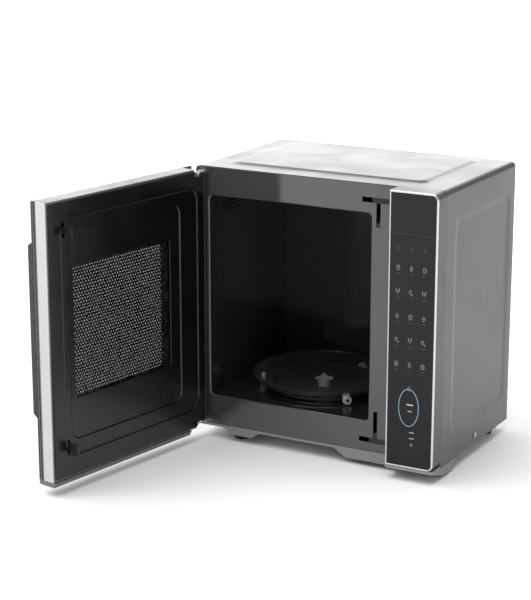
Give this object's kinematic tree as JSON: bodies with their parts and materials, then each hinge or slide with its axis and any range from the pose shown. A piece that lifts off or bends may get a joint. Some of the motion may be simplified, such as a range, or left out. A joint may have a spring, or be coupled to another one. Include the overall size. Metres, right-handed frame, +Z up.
{
  "type": "microwave oven",
  "caption": "Countertop microwave oven with its side-hung door open: touch control panel on the right, glass turntable on a roller ring, bowed upright handle and perforated door window.",
  "frame": {"origin": "centre of the cabinet's footprint on the counter, level with the undersides of the rubber feet", "axes": "+X to the right seen from the front, +Y from the door side to the back, +Z up"},
  "size_m": [0.5411, 0.6341, 0.4626],
  "materials": {
    "cover_paint": "satin silver-grey paint",
    "zinc_steel": "galvanised, dull",
    "base_silver": "satin silver-grey moulding",
    "plate_paint": "glossy metallic grey",
    "cavity_enamel": "satin dark enamel",
    "bezel_silver": "satin silver-grey moulding",
    "bright_trim": "polished",
    "panel_glass": "glossy black",
    "touch_film": "printed touch film",
    "board_green": "lacquered circuit board",
    "hinge_steel": "plated steel",
    "rubber_black": "matt",
    "mica_tan": "mica sheet",
    "motor_steel": "pressed steel",
    "fin_aluminium": "bare",
    "copper_winding": "lacquered copper",
    "can_aluminium": "drawn can",
    "part_plastic": "dark moulding",
    "white_plastic": "white moulding",
    "lamp_glass": "clear",
    "door_silver": "satin silver moulding",
    "edge_silver": "satin anodised",
    "door_glass_black": "dark glass, glossy",
    "choke_paint": "black paint",
    "liner_black": "semi-gloss black moulding",
    "clear_film": "clear film",
    "handle_black": "satin black",
    "spring_steel": "spring wire",
    "tray_glass": "clear toughened glass",
    "screw_steel": "plated"
  },
  "bodies": {
    "cabinet": {"outer_cover": "cover_paint", "rear_panel": "zinc_steel", "cord_inlet": "part_plastic", "base_plate": "zinc_steel", "front_base_strip": "base_silver", "rubber_feet": "rubber_black", "front_plate": "plate_paint", "latch_plate": "plate_paint", "cavity_wrap": "cavity_enamel", "cavity_floor": "cavity_enamel", "cavity_rear_wall": "cavity_enamel", "mica_cover": "mica_tan", "control_bezel": "bezel_silver", "panel_trim": "bright_trim", "control_glass": "panel_glass", "touch_sheet": "touch_film", "display_module": "part_plastic", "control_board": "board_green", "hinge_brackets": "hinge_steel", "turntable_motor": "motor_steel", "waveguide": "zinc_steel", "magnetron_yoke": "motor_steel", "magnetron_anode": "hinge_steel", "cooling_fins": "fin_aluminium", "filter_box": "motor_steel", "transformer_core": "motor_steel", "transformer_windings": "copper_winding", "capacitor": "can_aluminium", "capacitor_clamp": "zinc_steel", "hv_diode": "part_plastic", "fan_shroud": "part_plastic", "fan_motor": "motor_steel", "lamp_holder": "white_plastic", "lamp_bulb": "lamp_glass", "thermal_cutouts": "part_plastic", "filter_board": "board_green", "interlock_bracket": "part_plastic", "door_switches": "part_plastic", "cover_screws": "screw_steel"},
    "door": {"door_frame": "door_silver", "door_edge_trim": "edge_silver", "door_bottom_rail": "door_silver", "door_glass": "door_glass_black", "choke_pan": "choke_paint", "window_screen": "choke_paint", "window_film": "clear_film", "door_liner": "liner_black", "door_handle": "handle_black", "handle_screws": "screw_steel", "latch_spring": "spring_steel"},
    "latch": {"door_latch": "part_plastic"},
    "coupler": {"tray_coupler": "white_plastic"},
    "tray": {"glass_tray": "tray_glass"},
    "ring": {"roller_ring": "part_plastic"},
    "wheel_1": {"roller_wheel_1": "white_plastic"},
    "wheel_2": {"roller_wheel_2": "white_plastic"},
    "wheel_3": {"roller_wheel_3": "white_plastic"},
    "fan": {"fan_blade": "white_plastic"},
    "upper_plunger": {"upper_switch_plunger": "white_plastic"},
    "lower_plungers": {"lower_switch_plungers": "white_plastic"}
  },
  "joints": [
    {"name": "door_hinge", "type": "hinge", "parent": "cabinet", "child": "door", "pos_m": [-0.2099, -0.1495, 0.24], "axis": [0, 0, 1], "range_deg": [0, 99.5]},
    {"name": "latch_lift", "type": "slide", "parent": "door", "child": "latch", "axis": [0, 0, 1], "range_m": [0, 0.004], "stiffness_N_per_m": 300, "springref_m": -0.005, "deforming": ["latch_spring"]},
    {"name": "coupler_spin", "type": "hinge", "parent": "cabinet", "child": "coupler", "pos_m": [-0.0505, -0.0094, 0.085], "axis": [0, 0, 1], "continuous": true},
    {"name": "tray_lift_off", "type": "slide", "parent": "coupler", "child": "tray", "axis": [0, 0, 1], "range_m": [0, 0.05]},
    {"name": "ring_spin", "type": "hinge", "parent": "cabinet", "child": "ring", "pos_m": [-0.0505, -0.0094, 0.0846], "axis": [0, 0, 1], "continuous": true},
    {"name": "wheel_1_spin", "type": "hinge", "parent": "ring", "child": "wheel_1", "pos_m": [0.02753, -0.07966, 0.0846], "axis": [0.7431, -0.6691, 0], "continuous": true},
    {"name": "wheel_2_spin", "type": "hinge", "parent": "ring", "child": "wheel_2", "pos_m": [-0.02867, 0.09331, 0.0846], "axis": [0.2079, 0.9781, 0], "continuous": true},
    {"name": "wheel_3_spin", "type": "hinge", "parent": "ring", "child": "wheel_3", "pos_m": [-0.15036, -0.04185, 0.0846], "axis": [-0.9511, -0.309, 0], "continuous": true},
    {"name": "fan_spin", "type": "hinge", "parent": "cabinet", "child": "fan", "pos_m": [0.16, 0.12, 0.13], "axis": [0, 1, 0], "continuous": true},
    {"name": "upper_switch_press", "type": "slide", "parent": "cabinet", "child": "upper_plunger", "axis": [0, 1, 0], "range_m": [0, 0.0012], "stiffness_N_per_m": 400, "springref_m": -0.001},
    {"name": "lower_switch_press", "type": "slide", "parent": "cabinet", "child": "lower_plungers", "axis": [0, 1, 0], "range_m": [0, 0.0012], "stiffness_N_per_m": 400, "springref_m": -0.001}
  ],
  "couplings": [
    {"joint": "ring_spin", "follows": "coupler_spin", "ratio": 0.5},
    {"joint": "wheel_1_spin", "follows": "coupler_spin", "ratio": -7.1918},
    {"joint": "wheel_2_spin", "follows": "coupler_spin", "ratio": -7.1918},
    {"joint": "wheel_3_spin", "follows": "coupler_spin", "ratio": -7.1918}
  ]
}
